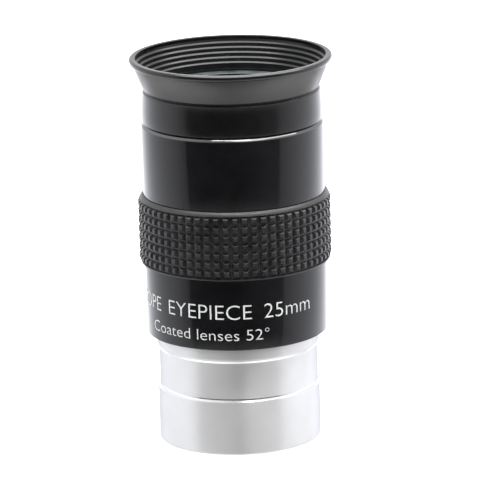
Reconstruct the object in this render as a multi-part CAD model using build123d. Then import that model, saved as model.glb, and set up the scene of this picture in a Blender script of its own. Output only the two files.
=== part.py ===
"""A telescope eyepiece for a 1.25-inch focuser, built as the turned, moulded and ground pieces
that it comes apart into. Millimetres, +Z from the focuser towards the eye, origin on the axis at
the foot of the plated nosepiece."""

import os
from math import sqrt

from build123d import *

# Nosepiece: the 1.25-inch push-fit standard sets the scale of everything else
BARREL_R = 31.7 / 2
UNDERCUT_R = 15.5
LAND_TOP = 10.5
UNDERCUT_FOOT = 10.85
UNDERCUT_HEAD = 18.3
COLLAR_FOOT = 19.1
SHOULDER_Z = 21.5
COLLAR_HEAD = 21.9  # the collar's head, sunk in a counterbore of the body
FILTER_R = 13.95  # crest of the M28.5 x 0.6 filter thread
FILTER_DEPTH = 5.0
NOSE_BORE_R = 14.2
NOSE_BORE_TOP = 20.5
SPIGOT_R = 15.0
SPIGOT_FOOT = 22.3
SPIGOT_TOP = 27.0
FIELD_TUBE_R = 14.3
FIELD_TUBE_BORE = 13.2
FIELD_TUBE_TOP = 32.4
THREAD_PITCH = 0.75
THREAD_DEPTH = 0.4
NOSE_GLARE_FOOT = 7.0
BODY_GLARE_FOOT = 29.0
GLARE_PITCH = 1.2
GLARE_DEPTH = 0.25

# Field stop, at the focus below the field lens
STOP_APERTURE_R = 10.6
STOP_FOOT = 29.4
STOP_TOP = 32.0
STOP_PLATE = 0.8
STOP_WALL = 1.1

# Main body
BODY_R = 35.44 / 2
BODY_TOP = 63.4
BODY_CHAMFER = 0.7
NECK_R = 16.0
NECK_TOP = 69.35
GRIP_FOOT = 35.5
GRIP_TOP = 49.05
GRIP_SEAT_R = 16.9
BODY_BORE_R = 14.45
BODY_LIP_R = 13.6
BODY_LIP_FOOT = 68.5

# Rubber grip
GRIP_BASE_R = 18.15
GRIP_TIP_R = 18.73
GRIP_ROWS = 7
GRIP_ROWS_FOOT = 36.0
GRIP_ROWS_TOP = 48.0
GRIP_LIP_R = 18.5

# Lenses: two like doublets, flints outwards, crowns facing each other
LENS_R = 12.5
CEMENT_RADIUS = 19.0
CROWN_RADIUS = 25.0
CROWN_THICKNESS = 9.2
FLINT_THICKNESS = 1.8
AIR_GAP = 0.5
SHIM_THICKNESS = 0.2
SHIM_BORE_R = 11.9
SPACER_BORE_R = 11.7

# Lens cell and its two threaded rings
CELL_R = 14.4
CELL_BORE_R = 12.55
CELL_LIP_R = 12.0
CELL_FOOT = 41.6
RING_SEAT_R = 13.3
RING_BORE_R = 11.4
RING_HEIGHT = 2.4
RING_SLOT_WIDTH = 1.4
RING_SLOT_DEPTH = 1.0
LOCK_RING_BORE_R = 12.6

# Rubber eyecup: a sleeve on the neck and a flared skirt above the fold
SLEEVE_R = 17.5
SLEEVE_TOP = 69.45
SKIRT_FOOT = 69.5
SKIRT_FOOT_R = 17.15
FOLD_DEPTH = 0.38
SKIRT_FLARE_FOOT = 70.0
SKIRT_FLARE_HEAD = 73.9
SKIRT_HEAD_R = 18.9
RIM_R = 19.7
RIM_FOOT = 74.4
RIM_TOP = 75.9
RIM_INNER_R = 18.45
RIB_COUNT = 5
RIB_LOW_Z, RIB_LOW_R = 70.8, 16.5
RIB_HIGH_Z, RIB_HIGH_R = 74.5, 18.12
RIB_DEPTH = 0.4

# Working clearances
FIT = 0.05
EYECUP_CLEARANCE = 0.08


def turned(points):
    """The solid turned about Z from a closed outline of (radius, height) points."""
    outline = Plane.XZ * Polyline(*points, close=True)
    return revolve(make_face(outline), Axis.Z)


def grooves(radius, depth, foot, top, pitch):
    """Rings of V section about Z, as deep as depth outside radius, to cut into a bore.

    A negative depth gives the rings that cut into the outside of a shaft."""
    count = int((top - foot) / pitch)
    half = pitch * 0.42
    reach = 0.02 if depth > 0 else -0.02
    rings = []
    for index in range(count):
        middle = foot + pitch * (index + 0.5)
        rings.append(
            turned(
                [
                    (radius - reach, middle - half),
                    (radius + depth, middle),
                    (radius - reach, middle + half),
                ]
            )
        )
    return rings


def slotted(ring, radius, foot):
    """A ring with two spanner slots across its lower face."""
    slot = Box(3 * radius, RING_SLOT_WIDTH, 2 * RING_SLOT_DEPTH)
    return ring - Pos(0, 0, foot) * slot


def nosepiece_barrel():
    outline = [
        (FILTER_R + 0.4, 0),
        (BARREL_R - 0.3, 0),
        (BARREL_R, 0.3),
        (BARREL_R, LAND_TOP),
        (UNDERCUT_R, UNDERCUT_FOOT),
        (UNDERCUT_R, UNDERCUT_HEAD),
        (BARREL_R, COLLAR_FOOT),
        (BARREL_R, COLLAR_HEAD),
        (SPIGOT_R - THREAD_DEPTH, COLLAR_HEAD),
        (SPIGOT_R - THREAD_DEPTH, SPIGOT_FOOT),
        (SPIGOT_R, SPIGOT_FOOT),
        (SPIGOT_R, SPIGOT_TOP),
        (FIELD_TUBE_R, SPIGOT_TOP + 0.3),
        (FIELD_TUBE_R, FIELD_TUBE_TOP),
        (FIELD_TUBE_BORE, FIELD_TUBE_TOP),
        (FIELD_TUBE_BORE, NOSE_BORE_TOP + 0.8),
        (NOSE_BORE_R, NOSE_BORE_TOP),
        (NOSE_BORE_R, FILTER_DEPTH + 0.3),
        (FILTER_R, FILTER_DEPTH),
        (FILTER_R, 0.4),
    ]
    barrel = turned(outline)
    barrel -= grooves(SPIGOT_R, -THREAD_DEPTH, SPIGOT_FOOT, SPIGOT_TOP, THREAD_PITCH)
    barrel -= grooves(NOSE_BORE_R, GLARE_DEPTH, NOSE_GLARE_FOOT, NOSE_BORE_TOP, GLARE_PITCH)
    return barrel


def field_stop_ring():
    """A ring in the field tube with a thin, bevelled plate that cuts the field of view."""
    outer = FIELD_TUBE_BORE - FIT
    ring = turned(
        [
            (outer - STOP_WALL, STOP_FOOT),
            (outer, STOP_FOOT),
            (outer, STOP_TOP),
            (STOP_APERTURE_R + 0.9, STOP_TOP),
            (STOP_APERTURE_R, STOP_TOP - STOP_PLATE + 0.15),
            (STOP_APERTURE_R, STOP_TOP - STOP_PLATE),
            (outer - STOP_WALL, STOP_TOP - STOP_PLATE),
        ]
    )
    return slotted(ring, outer, STOP_FOOT)


def main_body():
    seat_edge = 0.25
    counterbore_head = COLLAR_HEAD + 0.02
    outline = [
        (SPIGOT_R + FIT, counterbore_head),
        (BARREL_R + FIT, counterbore_head),
        (BARREL_R + FIT, SHOULDER_Z),
        (BODY_R - seat_edge, SHOULDER_Z),
        (BODY_R, SHOULDER_Z + seat_edge),
        (BODY_R, GRIP_FOOT),
        (GRIP_SEAT_R, GRIP_FOOT),
        (GRIP_SEAT_R, GRIP_TOP),
        (BODY_R, GRIP_TOP),
        (BODY_R, BODY_TOP - BODY_CHAMFER),
        (BODY_R - BODY_CHAMFER, BODY_TOP),
        (NECK_R, BODY_TOP),
        (NECK_R, NECK_TOP - 0.2),
        (NECK_R - 0.2, NECK_TOP),
        (BODY_LIP_R, NECK_TOP),
        (BODY_LIP_R, BODY_LIP_FOOT),
        (BODY_BORE_R, BODY_LIP_FOOT),
        (BODY_BORE_R, 28.3),
        (SPIGOT_R + FIT, 27.7),
    ]
    body = turned(outline)
    thread_top = SPIGOT_TOP + 0.5
    body -= grooves(SPIGOT_R + FIT, THREAD_DEPTH, SPIGOT_FOOT, thread_top, THREAD_PITCH)
    glare_top = CELL_FOOT - RING_HEIGHT
    body -= grooves(BODY_BORE_R, GLARE_DEPTH, BODY_GLARE_FOOT, glare_top, GLARE_PITCH)
    return body


def grip_ring():
    """The moulded ring in the body's seat, with its rows of points as ridges."""
    pitch = (GRIP_ROWS_TOP - GRIP_ROWS_FOOT) / GRIP_ROWS
    outline = [
        (GRIP_SEAT_R + 0.02, GRIP_FOOT + 0.05),
        (GRIP_LIP_R, GRIP_FOOT + 0.05),
        (GRIP_LIP_R, GRIP_ROWS_FOOT - 0.1),
        (GRIP_BASE_R, GRIP_ROWS_FOOT),
    ]
    for row in range(GRIP_ROWS):
        foot = GRIP_ROWS_FOOT + row * pitch
        outline += [
            (GRIP_TIP_R, foot + 0.4 * pitch),
            (GRIP_TIP_R, foot + 0.6 * pitch),
            (GRIP_BASE_R, foot + pitch),
        ]
    outline += [
        (GRIP_LIP_R, GRIP_ROWS_TOP + 0.1),
        (GRIP_LIP_R - 0.15, GRIP_ROWS_TOP + 0.5),
        (BODY_R + 0.15, GRIP_TOP - 0.05),
        (GRIP_SEAT_R + 0.02, GRIP_TOP - 0.05),
    ]
    return turned(outline)


def sagitta(radius_of_curve, height):
    return radius_of_curve - sqrt(radius_of_curve**2 - height**2)


def flat_ring(outer, inner, foot, height):
    return turned([(inner, foot), (outer, foot), (outer, foot + height), (inner, foot + height)])


# Heights down the optical stack, from the cell's lip
LIP_SEAT = BODY_LIP_FOOT - 0.4
EYE_LENS_TOP = LIP_SEAT - SHIM_THICKNESS
EYE_CEMENT = EYE_LENS_TOP - FLINT_THICKNESS
EYE_CROWN_FOOT = EYE_CEMENT - CROWN_THICKNESS
FIELD_CROWN_TOP = EYE_CROWN_FOOT - AIR_GAP
FIELD_CEMENT = FIELD_CROWN_TOP - CROWN_THICKNESS
FIELD_LENS_FOOT = FIELD_CEMENT - FLINT_THICKNESS
STACK_FOOT = FIELD_LENS_FOOT - SHIM_THICKNESS


def crown(cement_z, facing):
    """A biconvex crown lens. facing is -1 if it looks down from its cemented side, else 1."""
    cemented = Pos(0, 0, cement_z + facing * CEMENT_RADIUS) * Sphere(CEMENT_RADIUS)
    vertex = cement_z + facing * CROWN_THICKNESS
    outer = Pos(0, 0, vertex - facing * CROWN_RADIUS) * Sphere(CROWN_RADIUS)
    blank_z = cement_z + facing * CROWN_THICKNESS / 2
    blank = Pos(0, 0, blank_z) * Cylinder(LENS_R, 2 * CROWN_THICKNESS)
    return blank & cemented & outer


def flint(cement_z, facing):
    """A flint lens, flat outside and hollowed to take the crown."""
    edge = sagitta(CEMENT_RADIUS, LENS_R)
    thickness = FLINT_THICKNESS + edge
    middle = cement_z + facing * (edge - FLINT_THICKNESS) / 2
    blank = Pos(0, 0, middle) * Cylinder(LENS_R, thickness)
    return blank - Pos(0, 0, cement_z + facing * CEMENT_RADIUS) * Sphere(CEMENT_RADIUS)


def lens_spacer():
    """The ring between the two crowns, which rests on their rounded faces by its inner edge."""
    sag = sagitta(CROWN_RADIUS, SPACER_BORE_R)
    slack = 0.01
    height = AIR_GAP + 2 * sag - 2 * slack
    foot = FIELD_CROWN_TOP - sag + slack
    return flat_ring(LENS_R, SPACER_BORE_R, foot, height)


def lens_cell():
    lip_bevel = 0.4
    outline = [
        (RING_SEAT_R, CELL_FOOT),
        (CELL_R, CELL_FOOT),
        (CELL_R, BODY_LIP_FOOT),
        (CELL_LIP_R + 3 * lip_bevel, BODY_LIP_FOOT),
        (CELL_LIP_R, LIP_SEAT + 0.05),
        (CELL_LIP_R, LIP_SEAT),
        (CELL_BORE_R, LIP_SEAT),
        (CELL_BORE_R, STACK_FOOT + 0.1),
        (RING_SEAT_R, STACK_FOOT + 0.1),
    ]
    cell = turned(outline)
    return cell - grooves(RING_SEAT_R, THREAD_DEPTH, CELL_FOOT, STACK_FOOT, THREAD_PITCH)


def lens_retaining_ring():
    ring = flat_ring(RING_SEAT_R - FIT, RING_BORE_R, STACK_FOOT - RING_HEIGHT, RING_HEIGHT)
    return slotted(ring, RING_SEAT_R, STACK_FOOT - RING_HEIGHT)


def cell_lock_ring():
    foot = CELL_FOOT - RING_HEIGHT
    ring = flat_ring(BODY_BORE_R - FIT, LOCK_RING_BORE_R, foot, RING_HEIGHT)
    return slotted(ring, BODY_BORE_R, foot)


def eyecup_sleeve():
    """The part of the rubber moulding that grips the neck."""
    inner = NECK_R + EYECUP_CLEARANCE
    foot = BODY_TOP + FIT
    return turned(
        [
            (inner, foot),
            (SLEEVE_R - 0.15, foot),
            (SLEEVE_R, foot + 0.15),
            (SLEEVE_R, SLEEVE_TOP - 3.0),
            (SLEEVE_R - 0.24, SLEEVE_TOP - 0.15),
            (SLEEVE_R - FOLD_DEPTH, SLEEVE_TOP),
            (inner, SLEEVE_TOP),
        ]
    )


def eyecup_skirt():
    """The flared part of the moulding, from its fold to its rolled rim, ribbed inside."""
    outline = [
        (SKIRT_FOOT_R - FOLD_DEPTH, SKIRT_FOOT),
        (SKIRT_FOOT_R, SKIRT_FLARE_FOOT),
        (SKIRT_HEAD_R, SKIRT_FLARE_HEAD),
        (RIM_R - 0.25, RIM_FOOT),
        (RIM_R, RIM_FOOT + 0.35),
        (RIM_R, RIM_TOP - 0.4),
        (RIM_R - 0.4, RIM_TOP),
        (RIM_INNER_R + 0.4, RIM_TOP),
        (RIM_INNER_R, RIM_TOP - 0.4),
    ]
    step_z = (RIB_HIGH_Z - RIB_LOW_Z) / (RIB_COUNT - 1)
    step_r = (RIB_HIGH_R - RIB_LOW_R) / (RIB_COUNT - 1)
    for index in reversed(range(RIB_COUNT)):
        crest_z = RIB_LOW_Z + index * step_z
        crest_r = RIB_LOW_R + index * step_r
        outline += [
            (crest_r + RIB_DEPTH, crest_z + 0.45 * step_z),
            (crest_r, crest_z + 0.15 * step_z),
            (crest_r, crest_z - 0.1 * step_z),
        ]
    outline += [(RIB_LOW_R - 0.3, SKIRT_FLARE_FOOT), (RIB_LOW_R - 0.4, SKIRT_FOOT)]
    return turned(outline)


PARTS = {
    "nosepiece_barrel": nosepiece_barrel(),
    "field_stop_ring": field_stop_ring(),
    "main_body": main_body(),
    "grip_ring": grip_ring(),
    "lens_cell": lens_cell(),
    "cell_lock_ring": cell_lock_ring(),
    "lens_retaining_ring": lens_retaining_ring(),
    "eye_lens_shim": flat_ring(LENS_R, SHIM_BORE_R, EYE_LENS_TOP, SHIM_THICKNESS),
    "eye_lens_flint": flint(EYE_CEMENT, -1),
    "eye_lens_crown": crown(EYE_CEMENT, -1),
    "lens_spacer": lens_spacer(),
    "field_lens_crown": crown(FIELD_CEMENT, 1),
    "field_lens_flint": flint(FIELD_CEMENT, 1),
    "field_lens_shim": flat_ring(LENS_R, SHIM_BORE_R, STACK_FOOT, SHIM_THICKNESS),
    "eyecup_sleeve": eyecup_sleeve(),
    "eyecup_skirt": eyecup_skirt(),
}

os.makedirs("parts", exist_ok=True)
for node, shape in PARTS.items():
    export_step(shape, f"parts/{node}.step")
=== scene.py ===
"""Looks for a 1.25-inch telescope eyepiece: plated nosepiece, gloss black body with printed
figures, studded rubber grip, ribbed rubber eyecup and coated lenses."""

from math import cos, pi, radians, sin

import bpy
from mathutils import Matrix, Vector


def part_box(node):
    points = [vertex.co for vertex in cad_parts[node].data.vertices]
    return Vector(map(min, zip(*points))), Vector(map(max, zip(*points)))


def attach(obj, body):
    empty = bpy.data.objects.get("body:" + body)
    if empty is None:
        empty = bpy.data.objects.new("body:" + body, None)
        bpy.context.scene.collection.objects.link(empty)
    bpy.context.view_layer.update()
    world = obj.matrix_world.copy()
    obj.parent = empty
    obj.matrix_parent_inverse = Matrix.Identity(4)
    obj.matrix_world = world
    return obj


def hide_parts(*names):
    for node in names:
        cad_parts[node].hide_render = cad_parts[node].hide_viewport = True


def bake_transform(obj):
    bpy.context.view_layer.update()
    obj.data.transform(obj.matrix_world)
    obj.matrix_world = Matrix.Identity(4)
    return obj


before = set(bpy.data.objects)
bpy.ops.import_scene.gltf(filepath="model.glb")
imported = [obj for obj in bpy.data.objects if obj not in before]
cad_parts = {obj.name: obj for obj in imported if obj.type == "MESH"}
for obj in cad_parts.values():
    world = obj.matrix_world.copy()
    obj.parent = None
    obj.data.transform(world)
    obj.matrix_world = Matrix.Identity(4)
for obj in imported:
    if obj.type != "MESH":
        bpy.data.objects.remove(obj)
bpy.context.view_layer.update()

MM = 0.001
FRONT = -1  # the lettered side looks along -Y

# Steps round the axis. The grip takes its stud columns instead
STEPS = 160
EYECUP_STEPS = 144
THREAD_STEPS = 96
CORNER_STEPS = 3

# Points nearer than these many millimetres become one
SAME_POINT = 0.0001
SEAM_GAP = 0.0005
STUD_GAP = 0.01

# A thread's ridge: half its foot as a share of the pitch, half its crest, and how far its
# root is sunk in the wall, in millimetres
RIDGE_SHARE = 0.48
HALF_CREST = 0.06
ROOT_SINK = 0.02

# The part of a noise pattern's range that is spread over a material's range
PATTERN_LOW, PATTERN_HIGH = 0.35, 0.65


# ---------------------------------------------------------------- modelling helpers


def deselect_all():
    if bpy.context.object and bpy.context.object.mode != "OBJECT":
        bpy.ops.object.mode_set(mode="OBJECT")
    bpy.ops.object.select_all(action="DESELECT")


def span(node):
    """A node's foot and head heights in millimetres."""
    low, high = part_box(node)
    return low[2] / MM, high[2] / MM


def start_vertex(name, radius, height):
    """A new mesh of one vertex at (radius, 0, height) in millimetres, left in edit mode."""
    deselect_all()
    bpy.ops.mesh.primitive_plane_add(size=MM, location=(0, 0, 0))
    piece = bpy.context.object
    piece.name = name
    piece.data.name = name
    bpy.ops.object.mode_set(mode="EDIT")
    bpy.ops.mesh.select_all(action="SELECT")
    bpy.ops.mesh.merge(type="CENTER")
    bpy.ops.transform.translate(value=(radius * MM, 0, height * MM))
    return piece


def draw_outline(points, closed=True):
    """Extrudes the one selected vertex from point to point, then back to the first if closed."""
    path = list(points[1:]) + ([points[0]] if closed else [])
    here = points[0]
    for there in path:
        step = ((there[0] - here[0]) * MM, 0, (there[1] - here[1]) * MM)
        bpy.ops.mesh.extrude_region_move(TRANSFORM_OT_translate={"value": step})
        here = there
    bpy.ops.mesh.select_all(action="SELECT")
    bpy.ops.mesh.remove_doubles(threshold=SAME_POINT * MM)


def round_corners(rounds):
    """Bevels outline vertices. rounds maps a width in millimetres to its list of corners."""
    piece = bpy.context.object
    for width, corners in rounds.items():
        bpy.ops.mesh.select_all(action="DESELECT")
        bpy.ops.object.mode_set(mode="OBJECT")
        for vertex in piece.data.vertices:
            place = (vertex.co.x / MM, vertex.co.z / MM)
            vertex.select = any(
                abs(place[0] - r) < 1e-3 and abs(place[1] - z) < 1e-3 for r, z in corners
            )
        bpy.ops.object.mode_set(mode="EDIT")
        bpy.ops.mesh.bevel(
            offset=width * MM, segments=CORNER_STEPS, affect="VERTICES", clamp_overlap=True
        )


def spin_round(steps):
    """Spins the whole outline about Z and closes it on itself."""
    bpy.ops.mesh.select_all(action="SELECT")
    bpy.ops.mesh.spin(steps=steps, angle=2 * pi, center=(0, 0, 0), axis=(0, 0, 1))
    bpy.ops.mesh.select_all(action="SELECT")
    bpy.ops.mesh.remove_doubles(threshold=SEAM_GAP * MM)
    bpy.ops.mesh.normals_make_consistent(inside=False)
    bpy.ops.object.mode_set(mode="OBJECT")


def smooth(piece, angle=35):
    deselect_all()
    piece.select_set(True)
    bpy.context.view_layer.objects.active = piece
    bpy.ops.object.shade_smooth_by_angle(angle=radians(angle))


def turn_on_lathe(name, outline, rounds, steps=STEPS, angle=35):
    """A piece turned about Z from a closed outline of (radius, height) points."""
    piece = start_vertex(name, *outline[0])
    draw_outline(outline)
    round_corners(rounds)
    spin_round(steps)
    smooth(piece, angle)
    return piece


def cut_thread(name, root, crest, foot, pitch, turns):
    """A right-hand V thread: a ridge from radius root to radius crest that climbs about Z."""
    half_foot = pitch * RIDGE_SHARE
    ridge = [
        (root, foot - half_foot),
        (crest, foot - HALF_CREST),
        (crest, foot + HALF_CREST),
        (root, foot + half_foot),
    ]
    piece = start_vertex(name, *ridge[0])
    draw_outline(ridge)
    bpy.ops.object.mode_set(mode="OBJECT")
    screw = piece.modifiers.new("thread", "SCREW")
    screw.axis = "Z"
    screw.screw_offset = pitch * MM
    screw.iterations = turns
    screw.steps = THREAD_STEPS
    screw.render_steps = THREAD_STEPS
    screw.use_normal_calculate = True
    screw.use_merge_vertices = True
    bpy.ops.object.modifier_apply(modifier=screw.name)
    bpy.ops.object.mode_set(mode="EDIT")
    bpy.ops.mesh.select_all(action="SELECT")
    bpy.ops.mesh.remove_doubles(threshold=SEAM_GAP * MM)
    bpy.ops.mesh.fill_holes(sides=len(ridge))
    bpy.ops.mesh.normals_make_consistent(inside=False)
    bpy.ops.object.mode_set(mode="OBJECT")
    smooth(piece, 40)
    return piece


def joined(name, *parts):
    """One piece from several meshes."""
    deselect_all()
    for part in parts:
        part.select_set(True)
    bpy.context.view_layer.objects.active = parts[0]
    bpy.ops.object.join()
    piece = bpy.context.object
    piece.name = name
    piece.data.name = name
    return piece


# ---------------------------------------------------------------- materials


def new_material(name, **sockets):
    """A Principled material with its sockets set, and its tree ready for a pattern."""
    material = bpy.data.materials.new(name)
    material.use_nodes = True
    shader = material.node_tree.nodes["Principled BSDF"]
    for socket, value in sockets.items():
        shader.inputs[socket.replace("_", " ")].default_value = value
    return material


def node(material, kind, **values):
    """A node of this kind with its properties, and its inputs by name, set."""
    made = material.node_tree.nodes.new(kind)
    for key, value in values.items():
        if hasattr(made, key):
            setattr(made, key, value)
        else:
            made.inputs[key.replace("_", " ")].default_value = value
    return made


def link(material, source, target):
    material.node_tree.links.new(source, target)


def noise(material, scale, detail, squeeze=1):
    """Noise in Object coordinates. A squeeze along Z turns its grains into turning marks."""
    place = node(material, "ShaderNodeTexCoord")
    mapping = node(material, "ShaderNodeMapping", Scale=(1, 1, squeeze))
    link(material, place.outputs["Object"], mapping.inputs["Vector"])
    made = node(material, "ShaderNodeTexNoise", Scale=scale, Detail=detail, Roughness=0.55)
    link(material, mapping.outputs["Vector"], made.inputs["Vector"])
    return made.outputs["Fac"]


def spread(material, value, low, high):
    """A pattern's value spread between low and high."""
    made = node(
        material,
        "ShaderNodeMapRange",
        From_Min=PATTERN_LOW,
        From_Max=PATTERN_HIGH,
        To_Min=low,
        To_Max=high,
    )
    link(material, value, made.inputs["Value"])
    return made.outputs["Result"]


def vary_roughness(material, value, low, high):
    shader = material.node_tree.nodes["Principled BSDF"]
    link(material, spread(material, value, low, high), shader.inputs["Roughness"])


def vary_colour(material, value, dark, light):
    shader = material.node_tree.nodes["Principled BSDF"]
    ramp = node(material, "ShaderNodeValToRGB")
    stops = zip(ramp.color_ramp.elements, (PATTERN_LOW, PATTERN_HIGH), (dark, light))
    for stop, position, colour in stops:
        stop.position = position
        stop.color = (*colour, 1)
    link(material, value, ramp.inputs["Fac"])
    link(material, ramp.outputs["Color"], shader.inputs["Base Color"])


def raise_bumps(material, value, height):
    """Bumps of this height, in millimetres, from a pattern's value."""
    shader = material.node_tree.nodes["Principled BSDF"]
    bump = node(material, "ShaderNodeBump", Strength=1.0, Distance=height * MM)
    link(material, value, bump.inputs["Height"])
    link(material, bump.outputs["Normal"], shader.inputs["Normal"])


def ring_band(material, height, half_width):
    """One up to half_width from this height and nothing beyond, both in millimetres."""
    place = node(material, "ShaderNodeTexCoord")
    parts = node(material, "ShaderNodeSeparateXYZ")
    link(material, place.outputs["Object"], parts.inputs["Vector"])
    near = node(material, "ShaderNodeMath", operation="COMPARE")
    near.inputs[1].default_value = height * MM
    near.inputs[2].default_value = half_width * MM
    link(material, parts.outputs["Z"], near.inputs[0])
    return near.outputs["Value"]


def gloss_black_anodising():
    made = new_material("gloss_black_anodising", Roughness=0.08, IOR=1.5)
    turning = noise(made, 260, detail=3, squeeze=30)
    haze = noise(made, 220, detail=5)
    vary_colour(made, haze, (0.0022, 0.0022, 0.0026), (0.0042, 0.0042, 0.0048))
    vary_roughness(made, haze, 0.05, 0.11)
    raise_bumps(made, turning, 0.0006)
    return made


def polished_chamfer():
    """The shoulder's chamfer, cut bright before the anodising."""
    made = new_material("polished_black_chamfer", Roughness=0.1, IOR=1.95)
    turning = noise(made, 260, detail=3, squeeze=30)
    vary_colour(made, turning, (0.0022, 0.0022, 0.0026), (0.0042, 0.0042, 0.0048))
    vary_roughness(made, turning, 0.07, 0.13)
    return made


def end_face_painted_reflection():
    """The flat eye-end face, left dull, with a pale blue-green colour that is painted reflection
    of the bright roof, tinted like the lens coating.
    """
    made = new_material("end_face_painted_reflection", Roughness=0.4, IOR=1.5)
    wear = noise(made, 500, detail=5)
    # pale blue-green painted reflection, mottled by noise
    vary_colour(made, wear, (0.035, 0.043, 0.045), (0.07, 0.085, 0.088))
    vary_roughness(made, wear, 0.32, 0.5)
    return made


def satin_chrome():
    """The barrel's plating, brushed round the axis, with a polished corner over its land."""
    made = new_material(
        "satin_chrome",
        Metallic=1.0,
        Roughness=0.42,
        Anisotropic=0.97,
        Anisotropic_Rotation=0.25,
        Specular_Tint=(0.45, 0.45, 0.46, 1),
    )
    shader = made.node_tree.nodes["Principled BSDF"]
    around = node(made, "ShaderNodeTangent", direction_type="RADIAL", axis="Z")
    link(made, around.outputs["Tangent"], shader.inputs["Tangent"])
    turning = noise(made, 300, detail=4, squeeze=60)
    stain = noise(made, 140, detail=5)
    vary_colour(made, stain, (0.765, 0.765, 0.77), (0.805, 0.805, 0.805))
    raise_bumps(made, turning, 0.0012)
    corner = ring_band(made, UNDERCUT_FOOT + 0.1, 0.17)
    satin = spread(made, turning, 0.39, 0.45)
    polished = node(made, "ShaderNodeMix", data_type="FLOAT", B=0.12)
    link(made, corner, polished.inputs["Factor"])
    link(made, satin, polished.inputs["A"])
    link(made, polished.outputs["Result"], shader.inputs["Roughness"])
    return made


def bright_edge():
    """The barrel's small turned edges, cut after the rest and brighter than it."""
    made = new_material("bright_turned_edge", Metallic=1.0, Roughness=0.16)
    turning = noise(made, 300, detail=4, squeeze=60)
    vary_colour(made, turning, (0.68, 0.68, 0.68), (0.76, 0.76, 0.76))
    vary_roughness(made, turning, 0.14, 0.22)
    return made


def grip_rubber():
    made = new_material(
        "grip_rubber", Roughness=0.38, IOR=1.58, Sheen_Weight=0.18, Sheen_Roughness=0.25
    )
    grain = noise(made, 5200, detail=3)
    wear = noise(made, 420, detail=6)
    vary_colour(made, wear, (0.006, 0.0057, 0.0065), (0.014, 0.0135, 0.015))
    vary_roughness(made, wear, 0.34, 0.46)
    raise_bumps(made, grain, 0.012)
    return made


def eyecup_rubber():
    """Rubber that is smooth and black on the sleeve, and greyer and duller on the skirt."""
    made = new_material("eyecup_rubber", Roughness=0.19, IOR=1.5)
    shader = made.node_tree.nodes["Principled BSDF"]
    grain = noise(made, 3800, detail=4)
    bloom = noise(made, 190, detail=6)
    skirt = ring_band(made, (FOLD_Z + RIM_TOP) / 2 - 0.6, (RIM_TOP - FOLD_Z) / 2 - 0.4)
    for socket, sleeve_low, sleeve_high, skirt_low, skirt_high in (
        ("Roughness", 0.16, 0.21, 0.27, 0.35),
        ("Base Color", 0.002, 0.004, 0.004, 0.008),
    ):
        mixed = node(made, "ShaderNodeMix", data_type="FLOAT")
        link(made, skirt, mixed.inputs["Factor"])
        link(made, spread(made, bloom, sleeve_low, sleeve_high), mixed.inputs["A"])
        link(made, spread(made, bloom, skirt_low, skirt_high), mixed.inputs["B"])
        link(made, mixed.outputs["Result"], shader.inputs[socket])
    raise_bumps(made, grain, 0.005)
    return made


def printing_ink():
    made = new_material("white_printing_ink", Roughness=0.5)
    patches = noise(made, 2600, detail=4)
    vary_colour(made, patches, (0.42, 0.43, 0.42), (0.58, 0.59, 0.58))
    raise_bumps(made, patches, 0.004)
    return made


def blackened_metal(name, dark, light, low, high):
    """Matt black metal inside the tube, with turning marks."""
    made = new_material(name, Roughness=0.5, Metallic=0.2)
    turning = noise(made, 320, detail=4, squeeze=25)
    vary_colour(made, turning, dark, light)
    vary_roughness(made, turning, low, high)
    raise_bumps(made, turning, 0.004)
    return made


def coated_glass(name, tint, glass, clear=1.0):
    """Clear optical glass whose reflections take the coating's colour. With clear below one, the
    rest is diffuse in the glass colour: a painted pale reflection.
    """
    made = new_material(
        name,
        Transmission_Weight=clear,
        Roughness=0.0,
        IOR=1.6,
        Specular_Tint=(*tint, 1),
    )
    dust = noise(made, 900, detail=3)
    # with clear below one this colour shows as a diffuse painted reflection; the noise flecks it
    # towards white like dust
    vary_colour(made, dust, glass, (0.98, 0.99, 0.985))
    vary_roughness(made, dust, 0.0, 0.012)
    return made


def film_black():
    made = new_material("black_film", Roughness=0.35)
    grain = noise(made, 1500, detail=3)
    vary_colour(made, grain, (0.008, 0.008, 0.008), (0.015, 0.015, 0.015))
    return made


def pale_floor():
    made = new_material("pale_floor", Roughness=0.9)
    grain = noise(made, 60, detail=2)
    vary_colour(made, grain, (0.93, 0.93, 0.93), (0.95, 0.95, 0.95))
    return made


def coat_with(piece, material):
    piece.data.materials.clear()
    piece.data.materials.append(material)
    for slot in piece.material_slots:
        slot.link = "DATA"


def coat_ring(piece, material, low, high, radius):
    """A second material on the faces between two heights and outside a radius, in millimetres."""
    if material.name not in piece.data.materials:
        piece.data.materials.append(material)
    index = piece.data.materials.find(material.name)
    for face in piece.data.polygons:
        x, y, z = face.center / MM
        if low < z < high and (x * x + y * y) ** 0.5 > radius:
            face.material_index = index


def refinish(node_name, material):
    """Gives a CAD node a better material in each of its slots."""
    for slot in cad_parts[node_name].material_slots:
        slot.material = material


# ---------------------------------------------------------------- the body

BODY_FOOT, BODY_HEAD = span("main_body")
GRIP_FOOT, GRIP_HEAD = span("grip_ring")
BODY_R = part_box("main_body")[1][0] / MM
SHOULDER_TOP, SHOULDER_CHAMFER = 63.4, 0.7
NECK_R = 16.0
SEAT_R, SEAT_SLACK = 16.9, 0.05
BORE_R, BORE_FOOT = 14.45, 28.3
EYE_OPENING_R, EYE_END_DEPTH = 13.6, 0.85
SPIGOT_CLEAR_R, SPIGOT_CLEAR_HEAD = 15.45, 27.7
SPIGOT_PITCH = 0.75
BODY_CREST_R, BODY_THREAD_FOOT, BODY_THREAD_TURNS = 15.05, 22.6, 6
BARREL_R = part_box("nosepiece_barrel")[1][0] / MM
BARREL_SLACK = 0.05
COLLAR_HEAD, COLLAR_SLACK = 21.9, 0.02


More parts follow.
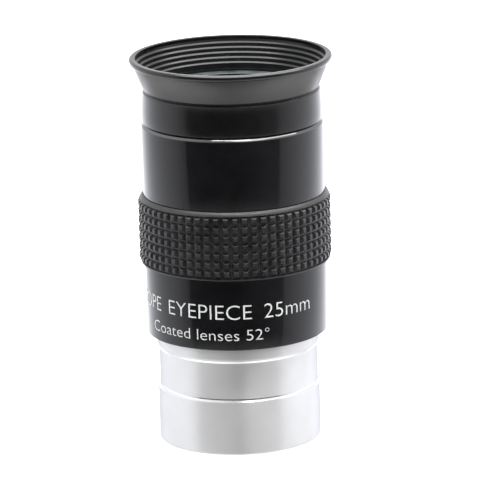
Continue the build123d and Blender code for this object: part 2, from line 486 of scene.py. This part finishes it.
def model_body(finish, chamfer_finish, end_painted_reflection):
    """The black shell with the grip's seat, the eyecup's neck and the bore for the lens cell."""
    seat_foot = GRIP_FOOT - SEAT_SLACK
    seat_head = GRIP_HEAD + SEAT_SLACK
    collar_seat = COLLAR_HEAD + COLLAR_SLACK
    end_inside = BODY_HEAD - EYE_END_DEPTH
    foot_edge = (BODY_R, BODY_FOOT)
    chamfer_low = (BODY_R, SHOULDER_TOP - SHOULDER_CHAMFER)
    chamfer_high = (BODY_R - SHOULDER_CHAMFER, SHOULDER_TOP)
    neck_edge = (NECK_R, BODY_HEAD)
    opening = (EYE_OPENING_R, BODY_HEAD)
    outline = [
        (SPIGOT_CLEAR_R, collar_seat),
        (BARREL_R + BARREL_SLACK, collar_seat),
        (BARREL_R + BARREL_SLACK, BODY_FOOT),
        foot_edge,
        (BODY_R, seat_foot),
        (SEAT_R, seat_foot),
        (SEAT_R, seat_head),
        (BODY_R, seat_head),
        chamfer_low,
        chamfer_high,
        (NECK_R, SHOULDER_TOP),
        neck_edge,
        opening,
        (EYE_OPENING_R, end_inside),
        (BORE_R, end_inside),
        (BORE_R, BORE_FOOT),
        (SPIGOT_CLEAR_R, SPIGOT_CLEAR_HEAD),
    ]
    rounds = {
        0.22: [foot_edge],
        0.12: [(BODY_R, seat_foot), (BODY_R, seat_head), chamfer_low, chamfer_high],
        0.18: [neck_edge, opening],
    }
    shell = turn_on_lathe("body_shell", outline, rounds)
    thread = cut_thread(
        "body_thread",
        SPIGOT_CLEAR_R + ROOT_SINK,
        BODY_CREST_R,
        BODY_THREAD_FOOT,
        SPIGOT_PITCH,
        BODY_THREAD_TURNS,
    )
    body = joined("body_shell", shell, thread)
    coat_with(body, finish)
    coat_ring(body, chamfer_finish, SHOULDER_TOP - 0.72, SHOULDER_TOP - 0.02, NECK_R)
    # the eye-end face takes the pale blue-green painted reflection colour
    coat_ring(body, end_painted_reflection, BODY_HEAD - 0.4, BODY_HEAD + 0.1, EYE_OPENING_R - 0.1)
    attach(body, "housing")
    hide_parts("main_body")
    return body


# ---------------------------------------------------------------- the nosepiece

UNDERCUT_R = 15.5
LAND_TOP, UNDERCUT_FOOT = 10.5, 10.85
UNDERCUT_HEAD, COLLAR_FOOT = 18.3, 19.1
SPIGOT_ROOT_R, SPIGOT_CREST_R, SPIGOT_HEAD = 14.6, 15.0, 27.0
SPIGOT_THREAD_FOOT, SPIGOT_THREAD_TURNS = 22.7, 5
FIELD_TUBE_R, FIELD_TUBE_BORE, FIELD_TUBE_FOOT = 14.3, 13.2, 27.3
BORE_CONE_FOOT, BORE_CONE_HEAD = 20.5, 21.3
NOSE_BORE_R = 14.2
MOUTH_CHAMFER = 0.35
FILTER_CREST_R, FILTER_PITCH = 13.95, 0.6
FILTER_THREAD_FOOT, FILTER_THREAD_TURNS = 0.8, 7

# Grooves in the bore against glare
GLARE_FOOT, GLARE_HEAD, GLARE_PITCH = 7.0, 20.0, 1.2
GLARE_HALF_WIDTH, GLARE_DEPTH = 0.45, 0.25


def model_nosepiece(finish, edge_finish):
    """The plated barrel: land, undercut, collar, screw spigot, field tube and filter thread."""
    top = span("nosepiece_barrel")[1]
    foot_edge = (BARREL_R, 0)
    land_edge = (BARREL_R, LAND_TOP)
    cut_low = (UNDERCUT_R, UNDERCUT_FOOT)
    cut_high = (UNDERCUT_R, UNDERCUT_HEAD)
    collar_waist = (UNDERCUT_R + 0.2, UNDERCUT_HEAD + 0.4)
    collar_edge = (BARREL_R, COLLAR_FOOT)
    shoulder = (BARREL_R, COLLAR_HEAD)
    mouth = (NOSE_BORE_R + MOUTH_CHAMFER, 0)
    outline = [
        mouth,
        foot_edge,
        land_edge,
        cut_low,
        cut_high,
        collar_waist,
        collar_edge,
        shoulder,
        (SPIGOT_ROOT_R, COLLAR_HEAD),
        (SPIGOT_ROOT_R, SPIGOT_HEAD),
        (FIELD_TUBE_R, FIELD_TUBE_FOOT),
        (FIELD_TUBE_R, top),
        (FIELD_TUBE_BORE, top),
        (FIELD_TUBE_BORE, BORE_CONE_HEAD),
        (NOSE_BORE_R, BORE_CONE_FOOT),
    ]
    grooves = int((GLARE_HEAD - GLARE_FOOT) / GLARE_PITCH)
    for index in reversed(range(grooves)):
        middle = GLARE_FOOT + (index + 0.5) * GLARE_PITCH
        outline += [
            (NOSE_BORE_R, middle + GLARE_HALF_WIDTH),
            (NOSE_BORE_R + GLARE_DEPTH, middle),
            (NOSE_BORE_R, middle - GLARE_HALF_WIDTH),
        ]
    outline += [(NOSE_BORE_R, MOUTH_CHAMFER)]
    rounds = {
        0.3: [foot_edge],
        0.1: [land_edge, cut_low, cut_high, collar_edge, shoulder],
    }
    shell = turn_on_lathe("nosepiece_shell", outline, rounds)
    spigot = cut_thread(
        "spigot_thread",
        SPIGOT_ROOT_R - ROOT_SINK,
        SPIGOT_CREST_R,
        SPIGOT_THREAD_FOOT,
        SPIGOT_PITCH,
        SPIGOT_THREAD_TURNS,
    )
    filters = cut_thread(
        "filter_thread",
        NOSE_BORE_R + ROOT_SINK,
        FILTER_CREST_R,
        FILTER_THREAD_FOOT,
        FILTER_PITCH,
        FILTER_THREAD_TURNS,
    )
    barrel = joined("nosepiece_shell", shell, spigot, filters)
    coat_with(barrel, finish)
    coat_ring(barrel, edge_finish, LAND_TOP - 0.02, UNDERCUT_FOOT - 0.06, UNDERCUT_R)
    coat_ring(barrel, edge_finish, UNDERCUT_HEAD - 0.05, UNDERCUT_HEAD + 0.45, UNDERCUT_R - 0.05)
    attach(barrel, "nosepiece")
    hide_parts("nosepiece_barrel")
    return barrel


# ---------------------------------------------------------------- the grip

STUD_COLUMNS = 63
STUD_ROWS = 7
STUD_FIELD_FOOT, STUD_FIELD_HEAD = 36.0, 48.15
STUD_BASE_R, STUD_TIP_R = 18.15, 18.75
STUD_TIP_SHARE = 0.46  # a stud's flat tip as a share of its foot
GROOVE_HALF_WIDTH = 0.1
GRIP_LIP_R = 18.5
GRIP_FIT = 0.02


def model_stud_column():
    """One column of pyramids on the front, one pitch wide, with its foot on the base radius."""
    pitch = (STUD_FIELD_HEAD - STUD_FIELD_FOOT) / STUD_ROWS
    half_angle = pi / STUD_COLUMNS
    half_width = STUD_BASE_R * sin(half_angle)
    depth = STUD_BASE_R * cos(half_angle)
    deselect_all()
    bpy.ops.mesh.primitive_plane_add(size=1, location=(0, 0, 0))
    column = bpy.context.object
    column.name = "grip_studs"
    bpy.ops.object.mode_set(mode="EDIT")
    bpy.ops.mesh.select_all(action="SELECT")
    bpy.ops.transform.resize(value=(2 * half_width * MM, pitch * MM, 1))
    bpy.ops.transform.rotate(
        value=pi / 2, orient_axis="X", orient_type="GLOBAL", center_override=(0, 0, 0)
    )
    middle = (0, FRONT * depth * MM, (STUD_FIELD_FOOT + pitch / 2) * MM)
    bpy.ops.transform.translate(value=middle)
    bpy.ops.mesh.inset(thickness=GROOVE_HALF_WIDTH * MM, depth=0)
    rise = (0, FRONT * (STUD_TIP_R - depth) * MM, 0)
    bpy.ops.mesh.extrude_region_move(TRANSFORM_OT_translate={"value": rise})
    bpy.ops.transform.resize(
        value=(STUD_TIP_SHARE, 1, STUD_TIP_SHARE),
        center_override=(middle[0], middle[1] + rise[1], middle[2]),
    )
    bpy.ops.object.mode_set(mode="OBJECT")
    rows = column.modifiers.new("rows", "ARRAY")
    rows.count = STUD_ROWS
    rows.use_relative_offset = False
    rows.use_constant_offset = True
    rows.constant_offset_displace = (0, 0, pitch * MM)
    rows.use_merge_vertices = True
    rows.merge_threshold = 0.001 * MM
    bpy.ops.object.modifier_apply(modifier=rows.name)
    return column


def model_grip(finish):
    """The rubber ring: a smooth band with two lips, and rows of pyramids all round."""
    column = model_stud_column()
    bpy.ops.object.mode_set(mode="EDIT")
    bpy.ops.mesh.select_all(action="SELECT")
    bpy.ops.mesh.spin(
        steps=STUD_COLUMNS, dupli=True, angle=2 * pi, center=(0, 0, 0), axis=(0, 0, 1)
    )
    bpy.ops.mesh.select_all(action="SELECT")
    bpy.ops.mesh.remove_doubles(threshold=STUD_GAP * MM)
    bpy.ops.object.mode_set(mode="OBJECT")
    top_edge = (BODY_R + 0.15, GRIP_HEAD)
    top_bulge = (GRIP_LIP_R - 0.2, GRIP_HEAD - 0.42)
    foot_edge = (GRIP_LIP_R, GRIP_FOOT)
    outline = [
        (STUD_BASE_R, STUD_FIELD_HEAD),
        (GRIP_LIP_R, STUD_FIELD_HEAD + 0.12),
        top_bulge,
        top_edge,
        (SEAT_R + GRIP_FIT, GRIP_HEAD),
        (SEAT_R + GRIP_FIT, GRIP_FOOT),
        foot_edge,
        (GRIP_LIP_R, STUD_FIELD_FOOT - 0.1),
        (STUD_BASE_R, STUD_FIELD_FOOT),
    ]
    band = start_vertex("grip_band", *outline[0])
    draw_outline(outline, closed=False)
    round_corners({0.15: [top_bulge, foot_edge], 0.08: [top_edge]})
    bpy.ops.mesh.select_all(action="SELECT")
    bpy.ops.transform.rotate(
        value=pi / 2 + pi / STUD_COLUMNS,
        orient_axis="Z",
        orient_type="GLOBAL",
        center_override=(0, 0, 0),
    )
    spin_round(STUD_COLUMNS)
    grip = joined("grip_rubber_ring", column, band)
    bpy.ops.object.mode_set(mode="EDIT")
    bpy.ops.mesh.select_all(action="SELECT")
    bpy.ops.mesh.remove_doubles(threshold=STUD_GAP * MM)
    bpy.ops.mesh.normals_make_consistent(inside=False)
    bpy.ops.object.mode_set(mode="OBJECT")
    smooth(grip, 25)
    coat_with(grip, finish)
    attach(grip, "housing")
    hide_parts("grip_ring")
    return grip


# ---------------------------------------------------------------- the eyecup

SLEEVE_R = 17.5
SKIRT_FOOT_R = 17.15
CUP_BORE_R = 16.08
FOLD_Z = 69.7
RIM_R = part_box("eyecup_skirt")[1][0] / MM
RIM_TOP = span("eyecup_skirt")[1]
RIB_COUNT = 5
RIB_LOW = (16.5, 70.78)
RIB_HIGH = (18.12, 74.5)


def model_eyecup(finish):
    """One rubber moulding: sleeve, fold line, flared skirt with ribs inside, rolled rim."""
    foot = span("eyecup_sleeve")[0]
    sleeve_foot = (SLEEVE_R, foot)
    sleeve_belly = (SLEEVE_R, FOLD_Z - 3.2)
    sleeve_head = (SLEEVE_R - 0.24, FOLD_Z - 0.35)
    fold = (SKIRT_FOOT_R - 0.38, FOLD_Z)
    skirt_foot = (SKIRT_FOOT_R, FOLD_Z + 0.25)
    under_rim = (19.0, RIM_TOP - 1.25)
    rim_low = (RIM_R, RIM_TOP - 0.9)
    rim_side = (RIM_R, RIM_TOP - 0.22)
    rim_high = (RIM_R - 0.28, RIM_TOP)
    rim_inner = (18.45, RIM_TOP)
    rim_foot = (18.6, RIM_TOP - 0.6)
    outline = [
        (CUP_BORE_R, foot),
        sleeve_foot,
        sleeve_belly,
        sleeve_head,
        fold,
        skirt_foot,
        under_rim,
        rim_low,
        rim_side,
        rim_high,
        rim_inner,
        rim_foot,
    ]
    edges = []
    for index in reversed(range(RIB_COUNT)):
        share = index / (RIB_COUNT - 1)
        radius = RIB_LOW[0] + share * (RIB_HIGH[0] - RIB_LOW[0])
        height = RIB_LOW[1] + share * (RIB_HIGH[1] - RIB_LOW[1])
        hollow = (radius + 0.42, height + 0.62)
        ledge = (radius + 0.4, height + 0.25)
        crest = (radius + 0.03, height + 0.02)
        crest_low = (radius, height - 0.12)
        edges += [ledge, crest, crest_low]
        outline += [hollow, ledge, crest, crest_low]
    inside_head = (16.62, RIB_LOW[1] - 0.25)
    inside_foot = (16.58, FOLD_Z + 0.1)
    outline += [inside_head, inside_foot, (CUP_BORE_R, FOLD_Z)]
    rounds = {
        0.3: [rim_low],
        0.1: [rim_side, rim_high, rim_inner],
        0.12: [sleeve_foot, sleeve_head, fold, skirt_foot],
        1.5: [sleeve_belly],
        0.05: edges,
    }
    cup = turn_on_lathe("eyecup_moulding", outline, rounds, steps=EYECUP_STEPS, angle=60)
    coat_with(cup, finish)
    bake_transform(cup)
    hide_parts("eyecup_sleeve", "eyecup_skirt")
    return cup


# ---------------------------------------------------------------- printing on the body

FONT_CAP_SHARE = 0.7  # the font's capitals as a share of its size
STROKE_OFFSET = -0.011  # thins the font's strokes
INK_GAP, INK_THICKNESS = 0.012, 0.02
CAPS, SMALL_CAPS = 2.95, 2.2
UPPER_LINE, LOWER_LINE = 27.7, 23.5


def print_line(name, words, cap_height, baseline, start_angle, end_angle, finish):
    """A line of printing wrapped on the body between two angles, seen from the front."""
    deselect_all()
    bpy.ops.object.text_add(location=(0, 0, 0))
    piece = bpy.context.object
    piece.name = name
    piece.data.body = words
    piece.data.resolution_u = 4
    piece.data.offset = STROKE_OFFSET
    bpy.ops.object.convert(target="MESH")
    deselect_all()
    piece.select_set(True)
    bpy.context.view_layer.objects.active = piece
    left = min(v.co.x for v in piece.data.vertices)
    right = max(v.co.x for v in piece.data.vertices)
    surface = BODY_R + INK_GAP
    width = radians(end_angle - start_angle) * surface * MM
    across = width / (right - left)
    up = cap_height * MM / FONT_CAP_SHARE
    bpy.ops.object.mode_set(mode="EDIT")
    bpy.ops.mesh.select_all(action="SELECT")
    bpy.ops.transform.translate(value=(-left, 0, 0))
    bpy.ops.transform.resize(value=(across, up, 1), center_override=(0, 0, 0))
    bpy.ops.transform.translate(value=(radians(start_angle) * surface * MM, 0, 0))
    cuts = int(width / MM) + 1
    for index in range(cuts):
        place = radians(start_angle) * surface * MM + (index + 0.5) * width / cuts
        bpy.ops.mesh.select_all(action="SELECT")
        bpy.ops.mesh.bisect(plane_co=(place, 0, 0), plane_no=(1, 0, 0))
    bpy.ops.mesh.select_all(action="SELECT")
    bpy.ops.mesh.extrude_region_move(
        TRANSFORM_OT_translate={"value": (0, 0, INK_THICKNESS * MM)}
    )
    bpy.ops.mesh.select_all(action="SELECT")
    bpy.ops.mesh.remove_doubles(threshold=SEAM_GAP * MM)
    bpy.ops.mesh.normals_make_consistent(inside=False)
    bpy.ops.transform.rotate(
        value=-pi / 2, orient_axis="X", orient_type="GLOBAL", center_override=(0, 0, 0)
    )
    bpy.ops.object.mode_set(mode="OBJECT")
    bend = piece.modifiers.new("wrap", "SIMPLE_DEFORM")
    bend.deform_method = "BEND"
    bend.deform_axis = "Z"
    xs = [v.co.x for v in piece.data.vertices]
    bend.angle = (max(xs) - min(xs)) / (surface * MM)
    bpy.ops.object.modifier_apply(modifier=bend.name)
    bpy.ops.object.mode_set(mode="EDIT")
    bpy.ops.mesh.select_all(action="SELECT")
    bpy.ops.transform.translate(value=(0, -surface * MM, baseline * MM))
    bpy.ops.object.mode_set(mode="OBJECT")
    coat_with(piece, finish)
    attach(piece, "housing")
    return piece


# ---------------------------------------------------------------- stage, lights, camera

TARGET = Vector((0, 0, 40.5 * MM))
CAMERA_ELEVATION = 14.39
CAMERA_ROLL = -1.6
CAMERA_DISTANCE = 0.86
SENSOR_WIDTH, FOCAL_LENGTH = 36, 317.3
SHIFT_X, SHIFT_Y = 0.0297, -0.0351

# The tent walls' light by bearing in degrees, with 0 at the front and 180 behind
WALL_LIGHT = (
    (-180, 2.2),
    (-150, 2.1),
    (-134, 1.75),
    (-121, 1.5),
    (-97, 1.25),
    (-87, 1.15),
    (-77, 0.97),
    (-67, 0.7),
    (-62, 0.52),
    (-60, 0.15),
    (-40, 0.09),
    (0, 0.05),
    (23, 0.1),
    (45, 0.21),
    (60, 0.28),
    (62, 0.66),
    (77, 0.97),
    (94, 1.3),
    (114, 1.55),
    (150, 2.3),
    (180, 2.3),
)
WALL_TINT = (0.99, 1.0, 1.06)

# Each changes as a direction rises: from this Z to this Z, from this value to this value
GROUND_SHARE = (-0.56, -0.4, 1.0, 0.0)
ROOF_SHARE = (-0.05, 0.2, 0.0, 0.85)
GROUND_LIGHT = (-0.92, -0.6, 1.25, 0.66)

# The ground and roof gain this much towards the sides and lose this much towards the back
SIDE_GAIN, SIDE_BEARING = 0.72, 75
BACK_LOSS, BACK_BEARING = 0.4, 100


def lay_floor():
    deselect_all()
    bpy.ops.mesh.primitive_circle_add(vertices=96, radius=6, fill_type="NGON", location=(0, 0, 0))
    floor = bpy.context.object
    floor.name = "floor"
    coat_with(floor, pale_floor())
    floor.visible_glossy = False


def surround_with_tent():
    """A pale tent that is open towards the front, so the gloss shows a dark band there.

    The camera sees plain white instead.
    """
    world = bpy.data.worlds.new("tent")
    bpy.context.scene.world = world
    world.use_nodes = True
    tree = world.node_tree
    tree.nodes.clear()

    def add(kind, **values):
        made = tree.nodes.new(kind)
        for key, value in values.items():
            setattr(made, key, value)
        return made

    def maths(operation, first, second=None):
        made = add("ShaderNodeMath", operation=operation)
        for socket, value in ((0, first), (1, second)):
            if isinstance(value, (int, float)):
                made.inputs[socket].default_value = value
            elif value is not None:
                tree.links.new(value, made.inputs[socket])
        return made.outputs["Value"]

    def by_height(limits):
        made = add("ShaderNodeMapRange", interpolation_type="SMOOTHSTEP")
        for name, value in zip(("From Min", "From Max", "To Min", "To Max"), limits):
            made.inputs[name].default_value = value
        tree.links.new(z, made.inputs["Value"])
        return made.outputs["Result"]

    place = add("ShaderNodeTexCoord")
    parts = add("ShaderNodeSeparateXYZ")
    tree.links.new(place.outputs["Generated"], parts.inputs["Vector"])
    x, y, z = (parts.outputs[name] for name in "XYZ")
    bearing = maths("ARCTAN2", x, maths("MULTIPLY", y, -1.0))
    round_the_tent = maths("ADD", maths("DIVIDE", bearing, 2 * pi), 0.5)
    walls = add("ShaderNodeValToRGB")
    stops = walls.color_ramp.elements
    stops[0].position, stops[1].position = 0.0, 1.0
    for degrees, light in WALL_LIGHT[1:-1]:
        stops.new(degrees / 360 + 0.5)
    for stop, (degrees, light) in zip(stops, WALL_LIGHT):
        stop.color = (*(light * share for share in WALL_TINT), 1)
    tree.links.new(round_the_tent, walls.inputs["Fac"])
    ground_share = by_height(GROUND_SHARE)
    roof_share = by_height(ROOF_SHARE)
    ground_light = by_height(GROUND_LIGHT)
    swing = maths("ABSOLUTE", bearing)
    aside = maths("MINIMUM", maths("DIVIDE", swing, radians(SIDE_BEARING)), 1.0)
    behind = maths("MAXIMUM", maths("SUBTRACT", swing, radians(BACK_BEARING)), 0.0)
    gain = maths("MULTIPLY", aside, SIDE_GAIN)
    brighter_sides = maths("SUBTRACT", gain, maths("MULTIPLY", behind, BACK_LOSS))
    rest = maths("ADD", brighter_sides, ground_light)
    tent = add("ShaderNodeMix", data_type="RGBA")
    tree.links.new(maths("MAXIMUM", ground_share, roof_share), tent.inputs["Factor"])
    tree.links.new(walls.outputs["Color"], tent.inputs["A"])
    tree.links.new(rest, tent.inputs["B"])
    background = add("ShaderNodeBackground")
    tree.links.new(tent.outputs["Result"], background.inputs["Color"])
    seen = add("ShaderNodeBackground")
    seen.inputs["Color"].default_value = (1, 1, 1, 1)
    path = add("ShaderNodeLightPath")
    mix = add("ShaderNodeMixShader")
    tree.links.new(path.outputs["Is Camera Ray"], mix.inputs["Fac"])
    tree.links.new(background.outputs["Background"], mix.inputs[1])
    tree.links.new(seen.outputs["Background"], mix.inputs[2])
    output = add("ShaderNodeOutputWorld")
    tree.links.new(mix.outputs["Shader"], output.inputs["Surface"])


def softbox(name, place, aim, width, height, power):
    deselect_all()
    bpy.ops.object.light_add(type="AREA", location=place)
    light = bpy.context.object
    light.name = name
    light.data.shape = "RECTANGLE"
    light.data.size = width
    light.data.size_y = height
    light.data.energy = power
    light.rotation_euler = (Vector(aim) - Vector(place)).to_track_quat("-Z", "Y").to_euler()
    return light


def set_lights():
    surround_with_tent()
    aim = (0, 0, 0.05)
    softbox("overhead_softbox", (0.1, 0.15, 0.9), aim, width=1.0, height=1.0, power=18)
    softbox("overhead_strip", (-0.01, -0.23, 0.95), aim, width=0.5, height=0.05, power=1.25)


def set_camera():
    tilt = radians(CAMERA_ELEVATION)
    bpy.ops.object.camera_add()
    camera = bpy.context.object
    away = Vector((0, -cos(tilt), sin(tilt))) * CAMERA_DISTANCE
    roll = Matrix.Rotation(radians(CAMERA_ROLL), 4, "Z")
    facing = Matrix.Rotation(pi / 2 - tilt, 4, "X") @ roll
    camera.matrix_world = Matrix.Translation(TARGET + away) @ facing
    camera.data.sensor_width = SENSOR_WIDTH
    camera.data.lens = FOCAL_LENGTH
    camera.data.shift_x = SHIFT_X
    camera.data.shift_y = SHIFT_Y
    camera.data.clip_start = 0.01
    bpy.context.scene.camera = camera
    bpy.context.scene.view_settings.view_transform = "Standard"


# ---------------------------------------------------------------- assembly

set_camera()
set_lights()
lay_floor()

ink = printing_ink()
cell_black = blackened_metal("cell_black", (0.006, 0.006, 0.0065), (0.013, 0.013, 0.014), 0.4, 0.6)
ring_black = blackened_metal("ring_black", (0.009, 0.0085, 0.008), (0.02, 0.019, 0.018), 0.35, 0.5)
# the eye lenses are a tenth diffuse pale teal: painted reflection of the bright roof in the
# coating
eye_glass = coated_glass("eye_glass", (0.45, 0.85, 0.78), (0.6, 0.74, 0.74), clear=0.9)
inner_glass = coated_glass("inner_glass", (0.5, 0.7, 0.85), (0.94, 0.98, 0.98))
film = film_black()

model_body(gloss_black_anodising(), polished_chamfer(), end_face_painted_reflection())
model_nosepiece(satin_chrome(), bright_edge())
model_grip(grip_rubber())
model_eyecup(eyecup_rubber())
print_line("printing_focal_length", "25mm", CAPS, UPPER_LINE, 17, 52, ink)
print_line("printing_kind", "EYEPIECE", CAPS, UPPER_LINE, -48, 9, ink)
print_line("printing_use", "TELESCOPE", CAPS, UPPER_LINE, -118, -56, ink)
print_line("printing_field", "Coated lenses 52°", SMALL_CAPS, LOWER_LINE, -65, 20, ink)

for material, node_names in (
    (cell_black, ("lens_cell", "cell_lock_ring")),
    (ring_black, ("lens_retaining_ring", "lens_spacer", "field_stop_ring")),
    (film, ("eye_lens_shim", "field_lens_shim")),
    (eye_glass, ("eye_lens_flint", "field_lens_flint")),
    (inner_glass, ("eye_lens_crown", "field_lens_crown")),
):
    for node_name in node_names:
        refinish(node_name, material)
